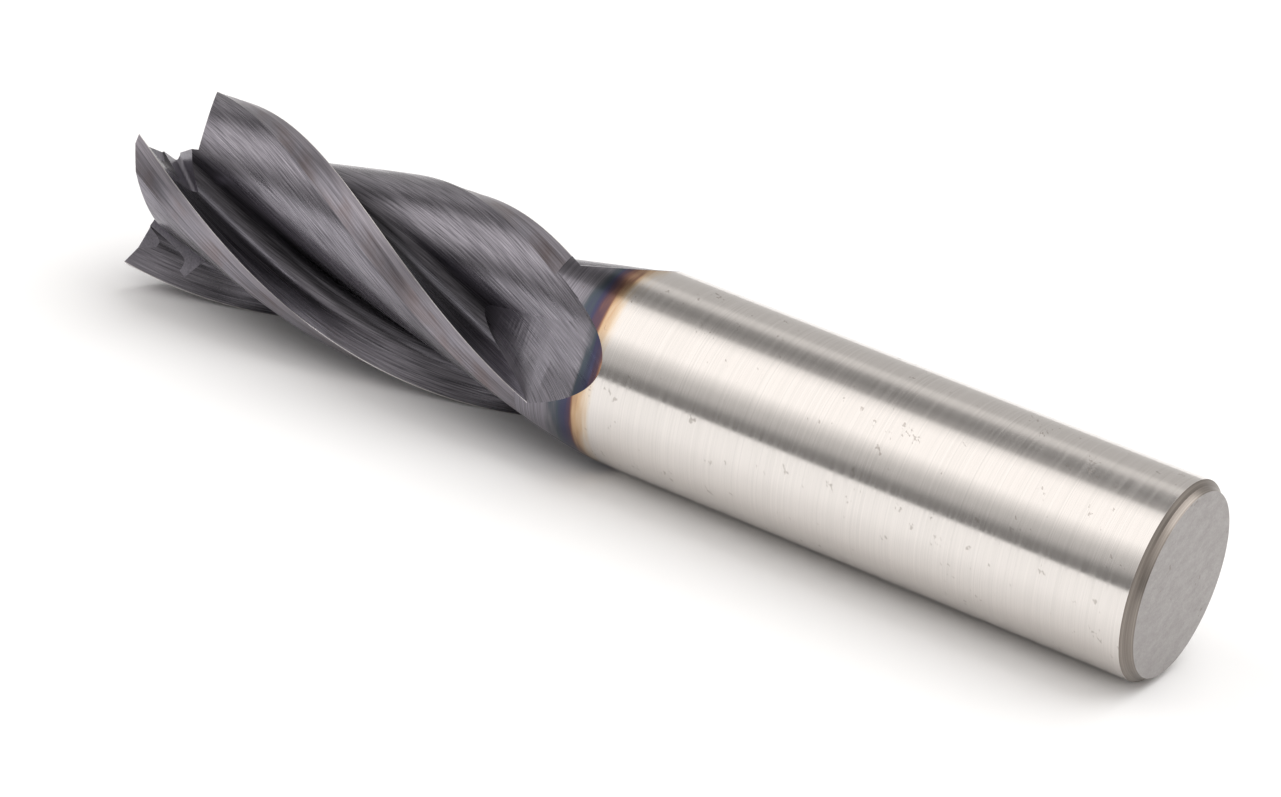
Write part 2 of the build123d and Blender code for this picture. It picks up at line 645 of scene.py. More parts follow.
@dataclass(frozen=True)
class NodeSheet:
    """A helper that adds and wires nodes in one tree."""

    tree: Tree

    def socket(self, label: str, kind: Kind, way: str = "INPUT") -> bpy.types.NodeTreeInterfaceSocket:
        """Give the tree an input or an output of its own."""
        return self.tree.interface.new_socket(label, in_out=way, socket_type=kind.value)

    def add(self, kind: str, inputs: dict | None = None, **settings: object) -> Node:
        """Add a node, set it up and wire it.

        Args:
            kind: The node's type name.
            inputs: Values or source sockets by input name or number.
            settings: Properties of the node.

        Returns:
            The new node.
        """
        node = self.tree.nodes.new(kind)
        node.location = (len(self.tree.nodes) * 180, 0)
        for name, value in settings.items():
            setattr(node, name, value)
        self.wire(node, inputs or {})
        return node

    def out(self, kind: str, inputs: dict | None = None, **settings: object) -> Socket:
        """Add a node and give its first output."""
        return self.add(kind, inputs, **settings).outputs[0]

    def wire(self, node: Node, inputs: dict) -> None:
        """Set a node's inputs.

        Args:
            node: The node.
            inputs: Values or source sockets by input name or number.
        """
        for name, value in inputs.items():
            self.feed(node.inputs[name], value)

    def feed(self, target: Socket, value: object) -> None:
        """Set a socket's value, or link it.

        Args:
            target: The socket.
            value: A value, or the socket that it comes from.
        """
        if isinstance(value, Socket):
            self.tree.links.new(value, target)
        else:
            target.default_value = value

    def group(self, tree: Tree, inputs: dict) -> Node:
        """Place a shared group with its own values."""
        return self.add("ShaderNodeGroup", inputs, node_tree=tree)

    def math(self, operation: str, *values: object, clamp: bool = False) -> Socket:
        """Add a Math node and give its result."""
        inputs = dict(enumerate(values))
        return self.add("ShaderNodeMath", inputs, operation=operation, use_clamp=clamp).outputs[0]

    def smooth(self, value: object, low: float, high: float) -> Socket:
        """Rise smoothly from 0 to 1 as the value goes from low to high."""
        inputs = {"Value": value, "From Min": low, "From Max": high}
        return self.add("ShaderNodeMapRange", inputs, interpolation_type="SMOOTHSTEP").outputs["Result"]

    def blend(self, factor: object, low: object, high: object, mode: str = "MIX") -> Socket:
        """Mix two colours by a factor and give the result."""
        inputs = {0: factor, 6: low, 7: high}
        return self.add("ShaderNodeMix", inputs, data_type="RGBA", blend_type=mode).outputs[2]

    def noise(self, vector: object, scale: object, detail: float = 2.0) -> Socket:
        """Add a noise and give its value."""
        inputs = {"Vector": vector, "Scale": scale, "Detail": detail}
        return self.add("ShaderNodeTexNoise", inputs).outputs[0]

    def vector(self, x: object, y: object, z: object) -> Socket:
        """Put three numbers together as a vector."""
        return self.add("ShaderNodeCombineXYZ", {0: x, 1: y, 2: z}).outputs[0]

    def split(self, vector: object) -> list[Socket]:
        """Take a vector apart into its three numbers."""
        return list(self.add("ShaderNodeSeparateXYZ", {0: vector}).outputs)

    def ramp(self, share: object, stops: list[tuple[float, tuple]]) -> Socket:
        """Turn a share into a colour.

        Args:
            share: The share, from 0 to 1.
            stops: The share and the colour of each stop.

        Returns:
            The colour's socket.
        """
        node = self.add("ShaderNodeValToRGB", {0: share})
        elements = node.color_ramp.elements
        while len(elements) < len(stops):
            elements.new(0.5)
        for element, (place, shade) in zip(elements, stops):
            element.position = place
            element.color = shade
        return node.outputs[0]


@dataclass(frozen=True)
class GrindingPlan:
    """The Geometry Nodes tree that sweeps the cutters and grinds the rod with them."""

    cutters: Cutters

    def swept(self, sheet: NodeSheet, section: Socket, start: Socket, given: Node) -> Socket:
        """Sweep a section up the helix.

        Args:
            sheet: The tree's nodes.
            section: The section's outline as a mesh.
            start: The height that the sweep starts at.
            given: The tree's input node.

        Returns:
            The swept mesh.
        """
        low, high = [sheet.vector(0.0, 0.0, z) for z in (start, given.outputs["Sweep Top"])]
        spine = sheet.out("GeometryNodeCurvePrimitiveLine", {"Start": low, "End": high})
        cuts = {"Curve": spine, "Length": given.outputs["Step"]}
        steps = sheet.out("GeometryNodeResampleCurve", cuts, mode="LENGTH")
        outline = sheet.out("GeometryNodeMeshToCurve", {"Mesh": section})
        inputs = {"Curve": steps, "Profile Curve": outline, "Fill Caps": True}
        straight = sheet.out("GeometryNodeCurveToMesh", inputs)
        place = sheet.out("GeometryNodeInputPosition")
        rise = sheet.math("SUBTRACT", sheet.split(place)[2], given.outputs["Overall Length"])
        turn = {"Vector": place, "Angle": sheet.math("MULTIPLY", rise, given.outputs["Turn per mm"])}
        twisted = sheet.out("ShaderNodeVectorRotate", turn, rotation_type="Z_AXIS")
        return sheet.out("GeometryNodeSetPosition", {"Geometry": straight, "Position": twisted})

    def difference(self, sheet: NodeSheet, body: Socket, cuts: list[Socket]) -> Socket:
        """Take cutters away from a body.

        Args:
            sheet: The tree's nodes.
            body: The body's mesh.
            cuts: The cutters' meshes.

        Returns:
            The mesh that is left.
        """
        ways = {"operation": "DIFFERENCE", "solver": "MANIFOLD"}
        node = sheet.add("GeometryNodeMeshBoolean", {"Mesh 1": body}, **ways)
        for cut in cuts:
            sheet.feed(node.inputs["Mesh 2"], cut)
        return node.outputs["Mesh"]

    def tree(self, shapes: list[str], numbers: list[str]) -> Tree:
        """Build the tree.

        Args:
            shapes: Names of the inputs for the cutters' objects.
            numbers: Names of the inputs for the sizes.

        Returns:
            The node tree.
        """
        sheet = NodeSheet(bpy.data.node_groups.new("grinding_plan", "GeometryNodeTree"))
        sheet.socket("Rod", Kind.SHAPE)
        for label in shapes:
            sheet.socket(label, Kind.OBJECT)
        for label in numbers:
            sheet.socket(label, Kind.NUMBER)
        sheet.socket("Finish", Kind.MATERIAL)
        sheet.socket("Tool", Kind.SHAPE, "OUTPUT")
        given, result = sheet.add("NodeGroupInput"), sheet.add("NodeGroupOutput")

        def shape(label: str) -> Socket:
            """The mesh of one cutter's object."""
            return sheet.add("GeometryNodeObjectInfo", {"Object": given.outputs[label]}).outputs["Geometry"]

        flute = self.swept(sheet, shape("Flute"), given.outputs["Flute Start"], given)
        flute = self.difference(sheet, flute, [shape("Ramp"), shape("Tip Stock")])
        lands = self.swept(sheet, shape("Lands"), given.outputs["Land Start"], given)
        teeth = self.cutters.screw.tooth_count
        cuts = [shape("Dish"), shape("Hole")]
        for cutter in (flute, lands, shape("End Clearance"), shape("Gash")):
            for tooth in range(teeth):
                inputs = {"Geometry": cutter, "Rotation": (0.0, 0.0, 2 * math.pi / teeth * tooth)}
                cuts.append(sheet.out("GeometryNodeTransform", inputs))
        ground = self.difference(sheet, given.outputs["Rod"], cuts)
        size = sheet.vector(*[given.outputs["Scale"]] * 3)
        sized = sheet.out("GeometryNodeTransform", {"Geometry": ground, "Scale": size})
        whole = sheet.out("GeometryNodeRealizeInstances", {"Geometry": sized})
        dressed = {"Geometry": whole, "Material": given.outputs["Finish"]}
        sheet.feed(result.inputs["Tool"], sheet.out("GeometryNodeSetMaterial", dressed))
        return sheet.tree

    def grind(self, finish: Material) -> Thing:
        """Run the tree on the rod and keep its result as a plain mesh.

        Args:
            finish: The material that the tree sets.

        Returns:
            The body in metres, of triangles that share their corners.
        """
        cutters, screw = self.cutters, self.cutters.screw
        shapes = {
            "Flute": loop_mesh("flute_outline", cutters.tooth.flute_outline(screw.radius)),
            "Lands": loop_mesh("land_outline", cutters.tooth.land_outline(cutters.room)),
            "Ramp": cutters.ramp(),
            "Tip Stock": cutters.tip_stock(),
            "End Clearance": cutters.end_clearance(),
            "Gash": cutters.gash(),
            "Dish": cutters.dish(),
            "Hole": cutters.hole(),
        }
        numbers = {
            "Overall Length": screw.overall_length,
            "Turn per mm": screw.turn_rate,
            "Flute Start": cutters.flute_end - cutters.room,
            "Land Start": cutters.relief_end,
            "Sweep Top": screw.overall_length + cutters.room,
            "Step": cutters.sweep_step,
            "Scale": MM,
        }
        rod, *others = [show(thing) for thing in (cutters.rod(), *shapes.values())]
        modifier = rod.modifiers.new("grinding", "NODES")
        modifier.node_group = self.tree(list(shapes), list(numbers))
        values = {**shapes, **numbers, "Finish": finish}
        for socket in modifier.node_group.interface.items_tree:
            if socket.in_out == "INPUT" and socket.name in values:
                modifier[socket.identifier] = values[socket.name]
        bpy.context.view_layer.update()
        evaluated = rod.evaluated_get(bpy.context.evaluated_depsgraph_get())
        mesh = bpy.data.meshes.new_from_object(evaluated)
        rod.modifiers.clear()
        for thing in (rod, *others):
            bpy.data.objects.remove(thing)
        with opened(mesh) as work:
            bmesh.ops.remove_doubles(work, verts=work.verts, dist=cutters.merge * MM)
            bmesh.ops.dissolve_degenerate(work, edges=work.edges, dist=cutters.merge * MM)
            bmesh.ops.triangulate(work, faces=work.faces)
        mesh.name = "end_mill_body"
        return show(bpy.data.objects.new("end_mill_body", mesh))


def corner_points(mesh: bpy.types.Mesh) -> np.ndarray:
    """Read where the corners of a mesh's triangles are.

    Args:
        mesh: The mesh, of triangles only.

    Returns:
        The places in millimetres, by triangle and corner.
    """
    places = np.empty(len(mesh.vertices) * 3)
    mesh.vertices.foreach_get("co", places)
    corners = np.empty(len(mesh.loops), int)
    mesh.loops.foreach_get("vertex_index", corners)
    return (places.reshape(-1, 3) / MM)[corners.reshape(-1, 3)]


@dataclass(frozen=True)
class DressedTool:
    """The end mill's visible body: a finely ground mesh with exact normals and a finish for each face."""

    cutters: Cutters = field(default_factory=Cutters)
    node: str = "end_mill"
    tip_start: float = 86.0
    fit: float = 0.012
    level: float = 0.999
    upright: float = 0.02
    agreement: float = 0.97
    ease: float = 1.6
    slices: int = 40
    slice_height: float = 0.4
    slice_least: float = 0.25
    slice_inset: float = 0.2

    def cone_normals(self, points: np.ndarray, faces: np.ndarray) -> np.ndarray:
        """Give faces turned about the axis their normals, from each face's own slope.

        Args:
            points: The faces' corners, in millimetres.
            faces: The faces' flat normals.

        Returns:
            Unit normals at the corners.
        """
        radial = unit(points * np.array([1, 1, 0]))
        middle = unit(points.mean(axis=1, keepdims=True) * np.array([1, 1, 0]))
        outwards = np.sum(middle * faces[:, None, :], axis=-1, keepdims=True)
        rise = faces[:, None, 2:3] * np.array([0, 0, 1])
        return unit(radial * outwards + rise)

    def eased_normals(self, points: np.ndarray, flat: np.ndarray) -> np.ndarray:
        """Turn the run-out's normals into those of the flute's back where the two meet.

        Args:
            points: Corners of the run-out's faces, in millimetres.
            flat: The faces' flat normals.

        Returns:
            Unit normals at the corners.
        """
        screw = self.cutters.screw
        plane = np.repeat(flat[:, None, :], 3, axis=1)
        section = screw.section(points)
        nearest = np.full(points.shape[:2], self.ease)
        close = plane.copy()
        for spin, local in screw.teeth(section):
            for side in self.cutters.tooth.back_sides():
                off = side.distance(local)
                exact = screw.lift_normal(side.normal(local) @ spin.T, section, points)
                exact = exact * np.sign(np.sum(exact * plane, axis=-1, keepdims=True))
                match = off < nearest
                close[match] = exact[match]
                nearest[match] = off[match]
        share = 1 - nearest[..., None] / self.ease
        share = share * share * (3 - 2 * share)
        return unit(plane * (1 - share) + close * share)

    def slice_run_outs(self, body: Thing) -> None:
        """Cut the large flat faces of the run-outs into strips, so that their normals can turn.

        Args:
            body: The ground body.
        """
        with opened(body.data) as work:
            for step in range(self.slices):
                height = (self.cutters.flute_end + self.slice_height * (step + 1)) * MM
                faces = [face for face in work.faces if self.crosses(face, height)]
                parts = faces + list({edge for face in faces for edge in face.edges})
                parts += list({corner for face in faces for corner in face.verts})
                level = {"plane_co": (0, 0, height), "plane_no": (0, 0, 1)}
                bmesh.ops.bisect_plane(work, geom=parts, dist=HAIR / 10, **level)
            bmesh.ops.triangulate(work, faces=work.faces)

    def crosses(self, face: bmesh.types.BMFace, height: float) -> bool:
        """Tell whether a face is large, lies inside the rod's surface and reaches past a height.

        Args:
            face: The face.
            height: The height in metres.

        Returns:
            Whether a slice at that height cuts it.
        """
        heights = [corner.co.z for corner in face.verts]
        if min(heights) >= height - HAIR or max(heights) <= height + HAIR:
            return False
        nearest = min(corner.co.xy.length for corner in face.verts)
        inside = nearest < (self.cutters.screw.radius - self.slice_inset) * MM
        return inside and face.calc_area() > (self.slice_least * MM) ** 2

    def dress(self, body: Thing) -> dict[Surface, int]:
        """Find each face's family, and set its normals and its material slot.

        Args:
            body: The merged body, with a material slot for each family.

        Returns:
            The number of faces of each family.
        """
        mesh, screw, flute_end = body.data, self.cutters.screw, self.cutters.flute_end
        points = corner_points(mesh)
        flat = unit(np.cross(points[:, 1] - points[:, 0], points[:, 2] - points[:, 0]))
        normals = np.repeat(flat[:, None, :], 3, axis=1)
        family = np.full(len(points), Surface.TIP.value)
        low, high = points[..., 2].min(axis=1), points[..., 2].max(axis=1)
        away = np.hypot(points[..., 0], points[..., 1])

        facing_axis = np.abs(flat[:, 2]) > self.level
        round_wall = np.abs(away - screw.radius).max(axis=1) < self.fit
        round_wall &= np.abs(flat[:, 2]) < self.upright
        chamfer = (high < self.cutters.chamfer_end + self.fit) & ~facing_axis
        family[round_wall] = Surface.SHANK.value
        family[chamfer] = Surface.CHAMFER.value
        family[facing_axis & (high < self.fit)] = Surface.SHANK_END.value
        turned_faces = round_wall | chamfer
        normals[turned_faces] = self.cone_normals(points[turned_faces], flat[turned_faces])

        section = screw.section(points)
        best = np.full(len(points), self.fit)
        open_faces = ~turned_faces & (low > flute_end)
        for spin, local in screw.teeth(section):
            for side in self.cutters.tooth.sides():
                off = side.distance(local).max(axis=1)
                exact = screw.lift_normal(side.normal(local) @ spin.T, section, points)
                alike = np.sum(exact * flat[:, None, :], axis=-1)
                match = (off < best) & (np.abs(alike).min(axis=1) > self.agreement) & open_faces
                normals[match] = (exact * np.sign(alike[:, :1])[..., None])[match]
                family[match] = side.surface.value
                best[match] = off[match]

        planes = (family == Surface.TIP.value) & (high < self.tip_start)
        family[planes] = Surface.RUN_OUT.value
        normals[planes] = self.eased_normals(points[planes], flat[planes])
        mesh.shade_smooth()
        mesh.polygons.foreach_set("material_index", family.astype(np.int32))
        mesh.normals_split_custom_set(normals.reshape(-1, 3).tolist())
        mesh.update()
        return {surface: int((family == surface.value).sum()) for surface in Surface}

    def build(self, finishes: list[Material]) -> Thing:
        """Make the visible body in place of the solid.

        Args:
            finishes: One material for each family of faces, in order.

        Returns:
            The body, riding on the part's only body.
        """
        body = GrindingPlan(self.cutters).grind(finishes[0])
        self.slice_run_outs(body)
        body.data.materials.clear()
        for finish in finishes:
            body.data.materials.append(finish)
        for surface, number in self.dress(body).items():
            LOG.info("%s: %d faces", surface.name.lower(), number)
        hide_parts(self.node)
        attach(body, "root")
        return body


def colour(red: int, green: int, blue: int) -> tuple[float, float, float, float]:
    """Turn a colour as it looks on screen into the linear value that shaders use.

    Args:
        red: The red channel, from 0 to 255.
        green: The green channel.
        blue: The blue channel.

    Returns:
        The linear channels, and full cover.
    """
    shares = [value / 255 for value in (red, green, blue)]
    linear = [share / 12.92 if share <= 0.04045 else ((share + 0.055) / 1.055) ** 2.4 for share in shares]
    return (*linear, 1.0)


@dataclass(frozen=True)
class HeatTint:
    """The temper colours round the tool where its coating ends, by height in millimetres."""

    start: float = 46.4
    end: float = 51.0
    fade: float = 1.1
    wander: float = 2.4
    wander_scale: float = 1.1
    bands: tuple = (
        (46.4, colour(230, 222, 214)),
        (47.2, colour(222, 206, 186)),
        (47.9, colour(200, 168, 134)),
        (48.3, colour(140, 104, 88)),
        (48.7, colour(96, 76, 86)),
        (49.2, colour(74, 74, 98)),
        (49.9, colour(80, 88, 96)),
        (51.0, colour(92, 91, 94)),
    )


@dataclass(frozen=True)
class EffectGroups:
    """The shader node groups that several finishes share."""

    screw: Screw = field(default_factory=Screw)
    broad_scale: float = 0.16
    broad_ends: tuple = (0.3, 0.7)
    broad_height: float = 0.6
    nick_scale: float = 2.5
    nick_ends: tuple = (0.4, 1.3)
    rim: tuple = (0.09, 0.04)
    patch_scale: float = 0.22
    stain_level: float = 0.46
    stain_span: float = 0.3
    stain_fade: float = 0.05

    def new_group(
        self, name: str, inputs: dict[str, float | None], outputs: dict[str, Kind]
    ) -> tuple[NodeSheet, list[Socket], Node]:
        """Start a node group with named sockets.

        Args:
            name: The group's name.
            inputs: Each input's value, or None for a vector.
            outputs: What each output carries.

        Returns:
            The sheet to add nodes to, the inputs' sockets in order, and the output node.
        """
        sheet = NodeSheet(bpy.data.node_groups.new(name, "ShaderNodeTree"))
        for label, value in inputs.items():
            socket = sheet.socket(label, Kind.VECTOR if value is None else Kind.NUMBER)
            if value is not None:
                socket.default_value = value
        for label, kind in outputs.items():
            sheet.socket(label, kind, "OUTPUT")
        given, result = sheet.add("NodeGroupInput"), sheet.add("NodeGroupOutput")
        return sheet, [given.outputs[label] for label in inputs], result

    def tool_position(self) -> Tree:
        """Make the group that turns object coordinates into places on the tool.

        Returns:
            The group: places in the section, round the axis and on the unrolled wall, and the
            height, the distance behind an edge and the radius.
        """
        outputs = {name: Kind.VECTOR for name in ("Section", "Around", "Unrolled")}
        outputs |= {name: Kind.NUMBER for name in ("Height", "Behind Edge", "Radius")}
        sheet, [vector], result = self.new_group("tool_position", {"Vector": None}, outputs)
        x, y, z = [sheet.math("MULTIPLY", part, 1 / MM) for part in sheet.split(vector)]
        squares = [sheet.math("MULTIPLY", part, part) for part in (x, y)]
        away = sheet.math("SQRT", sheet.math("ADD", *squares))
        angle = sheet.math("ARCTAN2", y, x)
        drop = sheet.math("SUBTRACT", self.screw.overall_length, z)
        turn = sheet.math("MULTIPLY_ADD", drop, self.screw.turn_rate, angle)
        half_tooth = math.pi / self.screw.tooth_count
        from_edge = sheet.math("WRAP", turn, half_tooth, -half_tooth)
        section_x = sheet.math("MULTIPLY", away, sheet.math("COSINE", turn))
        section_y = sheet.math("MULTIPLY", away, sheet.math("SINE", turn))
        results = {
            "Section": sheet.vector(section_x, section_y, z),
            "Around": sheet.vector(sheet.math("COSINE", angle), sheet.math("SINE", angle), z),
            "Unrolled": sheet.vector(sheet.math("MULTIPLY", from_edge, self.screw.radius), 0.0, z),
            "Height": z,
            "Behind Edge": sheet.math("MULTIPLY", from_edge, away),
            "Radius": away,
        }
        sheet.wire(result, results)
        return sheet.tree

    def grinding_lines(self) -> Tree:
        """Make the group of fine lines that a wheel leaves along the third axis.

        Returns:
            The group: fine and broad lines from 0 to 1, and a height for bump.
        """
        inputs = {"Vector": None, "Lines per mm": 8.0, "Stretch": 0.03, "Contrast": 1.0}
        outputs = {name: Kind.NUMBER for name in ("Fine", "Broad", "Height")}
        sheet, given, result = self.new_group("grinding_lines", inputs, outputs)
        vector, lines, stretch, contrast = given
        scale = sheet.vector(lines, lines, sheet.math("MULTIPLY", lines, stretch))
        place = sheet.out("ShaderNodeVectorMath", {0: vector, 1: scale}, operation="MULTIPLY")
        fine, broad = sheet.noise(place, 1.0, 3.0), sheet.noise(place, self.broad_scale)
        centred = sheet.math("SUBTRACT", fine, 0.5)
        results = {
            "Fine": sheet.math("MULTIPLY_ADD", centred, contrast, 0.5, clamp=True),
            "Broad": sheet.smooth(broad, *self.broad_ends),
            "Height": sheet.math("MULTIPLY_ADD", broad, self.broad_height, fine),
        }
        sheet.wire(result, results)
        return sheet.tree

    def heat_tint(self, finish: HeatTint) -> Tree:
        """Make the group of temper colours between the coating and the bare shank.

        Args:
            finish: The colours and their heights.

        Returns:
            The group: the tint's colour, the share of tint and the share of coating.
        """
        inputs = {"Place": None, "Height": 0.0}
        outputs = {"Color": Kind.COLOUR, "Tint": Kind.NUMBER, "Coating": Kind.NUMBER}
        sheet, [place, level], result = self.new_group("heat_tint", inputs, outputs)
        around = sheet.math("SUBTRACT", sheet.noise(place, finish.wander_scale, 3.0), 0.5)
        height = sheet.math("ADD", level, sheet.math("MULTIPLY", around, finish.wander))
        limits = {"Value": height, "From Min": finish.start, "From Max": finish.end}
        share = sheet.add("ShaderNodeMapRange", limits).outputs["Result"]
        span = finish.end - finish.start
        stops = [((top - finish.start) / span, shade) for top, shade in finish.bands]
        results = {
            "Color": sheet.ramp(share, stops),
            "Tint": sheet.smooth(height, finish.start, finish.start + finish.fade),
            "Coating": sheet.smooth(height, finish.end - finish.fade, finish.end),
        }
        sheet.wire(result, results)
        return sheet.tree

    def edge_wear_and_highlight(self) -> Tree:
        """Make the group that lightens a cutting edge: worn coating with small nicks, and a painted
        highlight along it.

        Returns:
            The group: the share of worn edge and painted highlight.
        """
        inputs = {"Place": None, "Behind Edge": 0.0, "Radius": 0.0, "Width": 0.1}
        sheet, given, result = self.new_group("edge_wear_and_highlight", inputs, {"Wear and Highlight": Kind.NUMBER})
        place, behind, radius, width = given
        ragged = sheet.math("MULTIPLY", sheet.noise(place, self.nick_scale, 4.0), 2.0)
        reach = sheet.math("MULTIPLY", width, ragged)
        share = sheet.math("DIVIDE", sheet.math("ABSOLUTE", behind), reach)
        near = sheet.math("SUBTRACT", 1.0, sheet.smooth(share, *self.nick_ends))
        widest = sheet.smooth(radius, *[self.screw.radius - inset for inset in self.rim])
        sheet.wire(result, {"Wear and Highlight": sheet.math("MULTIPLY", near, widest)})
        return sheet.tree

    def stains(self) -> Tree:
        """Make the group of small stains and pits.

        Returns:
            The group: the share of stain.
        """
        inputs = {"Place": None, "Size": 1.0, "Amount": 0.3}
        sheet, [place, size, amount], result = self.new_group("stains", inputs, {"Stain": Kind.NUMBER})
        scale = sheet.math("DIVIDE", 1.0, size)
        fine = sheet.noise(place, scale, 5.0)
        patch = sheet.noise(place, sheet.math("MULTIPLY", scale, self.patch_scale), 1.0)
        edge = sheet.math("MULTIPLY_ADD", amount, -self.stain_span, self.stain_level)
        over = sheet.math("SUBTRACT", sheet.math("MULTIPLY", fine, patch), edge)
        sheet.wire(result, {"Stain": sheet.smooth(over, 0.0, self.stain_fade)})
        return sheet.tree


@dataclass(frozen=True)
class Finish:
    """One ground finish: its colours, roughness and marks, and the painted shade in its hollows."""

    name: str
    lay: Lay
    dark: tuple
    light: tuple
    rough: float = 0.32
    rough_spread: float = 0.12
    lines_per_mm: float = 7.0
    stretch: float = 0.03
    line_depth: float = 0.25
    contrast: float = 1.6
    brown: float = 0.0
    # Painted shade: the share of light left at the tool's core (0 paints none) and in the flutes' roots (1
    # paints none)
    painted_core_shade: float = 0.0
    painted_root_shade: float = 1.0
    # Width of the worn edge with its painted highlight, in millimetres; 0 paints none
    edge_width: float = 0.0
    stain: float = 0.0
    stain_size: float = 0.5
    stain_strength: float = 0.4
    tint_drop: float = 0.0
    tinted: bool = False


@dataclass
class FinishShop:
    """Makes the materials of the tool from their finishes and the shared groups."""

    screw: Screw = field(default_factory=Screw)
    # Light colour of the outer cutting edges: worn coating and a painted highlight
    worn_edge_and_highlight: tuple = colour(206, 202, 200)
    brown_film: tuple = colour(112, 84, 66)
    stain_shade: tuple = colour(104, 88, 72)
    bare_line: tuple = colour(216, 212, 208)
    bare_metal: tuple = colour(234, 229, 225)
    # Painted shade fades out between these radii, and between these distances from a cutting edge, in
    # millimetres
    painted_shade_radii: tuple = (4.4, 6.0)
    painted_root_shade_reach: tuple = (1.2, 3.0)
    face_turn: tuple = (0.9, 0.5, 0.3)
    film_scale: float = 0.35
    film_ends: tuple = (0.35, 0.75)
    stain_rough: float = 0.2
    line_height: float = 0.02
    position: Tree = field(init=False)
    lines: Tree = field(init=False)
    tint: Tree = field(init=False)
    wear_and_highlight: Tree = field(init=False)
    stains: Tree = field(init=False)

    def __post_init__(self) -> None:
        """Make the shared groups."""
        groups = EffectGroups(self.screw)
        self.position = groups.tool_position()
        self.lines = groups.grinding_lines()
        self.tint = groups.heat_tint(HeatTint())
        self.wear_and_highlight = groups.edge_wear_and_highlight()
        self.stains = groups.stains()

    def line_frame(self, sheet: NodeSheet, lay: Lay, place: Node) -> Socket:
        """Give the coordinates whose third axis runs along the grinding lines.

        Args:
            sheet: The material's nodes.
            lay: The way that the lines run.
            place: The tool position group's node.

        Returns:
            A vector socket in millimetres.
        """
        if lay is Lay.ALONG_FLUTE:
            return place.outputs["Section"]
        if lay is Lay.ALONG_HELIX:
            return place.outputs["Unrolled"]
        if lay is Lay.AROUND_SHANK:
            return sheet.vector(place.outputs["Height"], 0.0, sheet.split(place.outputs["Around"])[0])
        coordinates = sheet.add("ShaderNodeTexCoord").outputs["Object"]
        inputs = {"Vector": coordinates, "Rotation": self.face_turn, "Scale": (1 / MM, 1 / MM, 1 / MM)}
        return sheet.out("ShaderNodeMapping", inputs)

    def with_painted_hollow_shade(self, sheet: NodeSheet, finish: Finish, shade: Socket, place: Node) -> Socket:
        """Paint shade into a colour towards the tool's core and in the flutes' roots, where the hollows lie
        in shadow.

        Args:
            sheet: The material's nodes.
            finish: The finish, with the shares of light that the painted shade leaves there.
            shade: The colour.
            place: The tool position group's node.

        Returns:
            The colour with the painted shade.
        """
        depth = sheet.smooth(place.outputs["Radius"], *self.painted_shade_radii)
        deep = sheet.math("MULTIPLY_ADD", depth, 1 - finish.painted_core_shade, finish.painted_core_shade)
        ahead = sheet.math("ABSOLUTE", place.outputs["Behind Edge"])
        clear = sheet.smooth(ahead, *self.painted_root_shade_reach)
        open_share = sheet.math("MULTIPLY_ADD", clear, 1 - finish.painted_root_shade, finish.painted_root_shade)
        left = sheet.math("MULTIPLY", deep, open_share)
        return sheet.blend(1.0, shade, sheet.vector(left, left, left), mode="MULTIPLY")

    def heated(
        self, sheet: NodeSheet, finish: Finish, shade: Socket, place: Node, fine: Socket
    ) -> Socket:
        """Let the coating's colour end in temper colours and bare metal.

        Args:
            sheet: The material's nodes.
            finish: The finish, with the height that its temper colours lie lower.
            shade: The coating's colour.
            place: The tool position group's node.
            fine: The share of fine lines.

        Returns:
            The colour at every height.
        """
        level = sheet.math("ADD", place.outputs["Height"], finish.tint_drop)
        tint = sheet.group(self.tint, {"Place": place.outputs["Around"], "Height": level}).outputs
        bare = sheet.blend(fine, self.bare_line, self.bare_metal)
        low = sheet.blend(tint["Tint"], bare, tint["Color"])
        return sheet.blend(tint["Coating"], low, shade)

    def make(self, finish: Finish) -> Material:
        """Make one material.

        Args:
            finish: The finish to make.

        Returns:
            The material.
        """
        material = bpy.data.materials.new(finish.name)
        material.use_nodes = True
        sheet = NodeSheet(material.node_tree)
        shader = material.node_tree.nodes["Principled BSDF"]
        shader.inputs["Metallic"].default_value = 1.0
        coordinates = sheet.add("ShaderNodeTexCoord").outputs["Object"]
        place = sheet.group(self.position, {"Vector": coordinates})
        section = place.outputs["Section"]
        inputs = {
            "Vector": self.line_frame(sheet, finish.lay, place),
            "Lines per mm": finish.lines_per_mm,
            "Stretch": finish.stretch,
            "Contrast": finish.contrast,
        }
        lines = sheet.group(self.lines, inputs).outputs
        shade = sheet.blend(lines["Fine"], finish.dark, finish.light)
        rough = sheet.math("MULTIPLY_ADD", lines["Broad"], finish.rough_spread, finish.rough)
        # Painted shade towards the core and in the flutes' roots, where the hollows lie in shadow
        if finish.painted_core_shade:
            shade = self.with_painted_hollow_shade(sheet, finish, shade, place)
        if finish.brown:
            film = sheet.smooth(sheet.noise(section, self.film_scale, 3.0), *self.film_ends)
            shade = sheet.blend(sheet.math("MULTIPLY", film, finish.brown), shade, self.brown_film)
        if finish.tinted:
            shade = self.heated(sheet, finish, shade, place, lines["Fine"])
        if finish.stain:
            inputs = {"Place": section, "Size": finish.stain_size, "Amount": finish.stain}
            stain = sheet.group(self.stains, inputs).outputs[0]
            faint = sheet.math("MULTIPLY", stain, finish.stain_strength)
            shade = sheet.blend(faint, shade, self.stain_shade)
            rough = sheet.math("MULTIPLY_ADD", faint, self.stain_rough, rough)
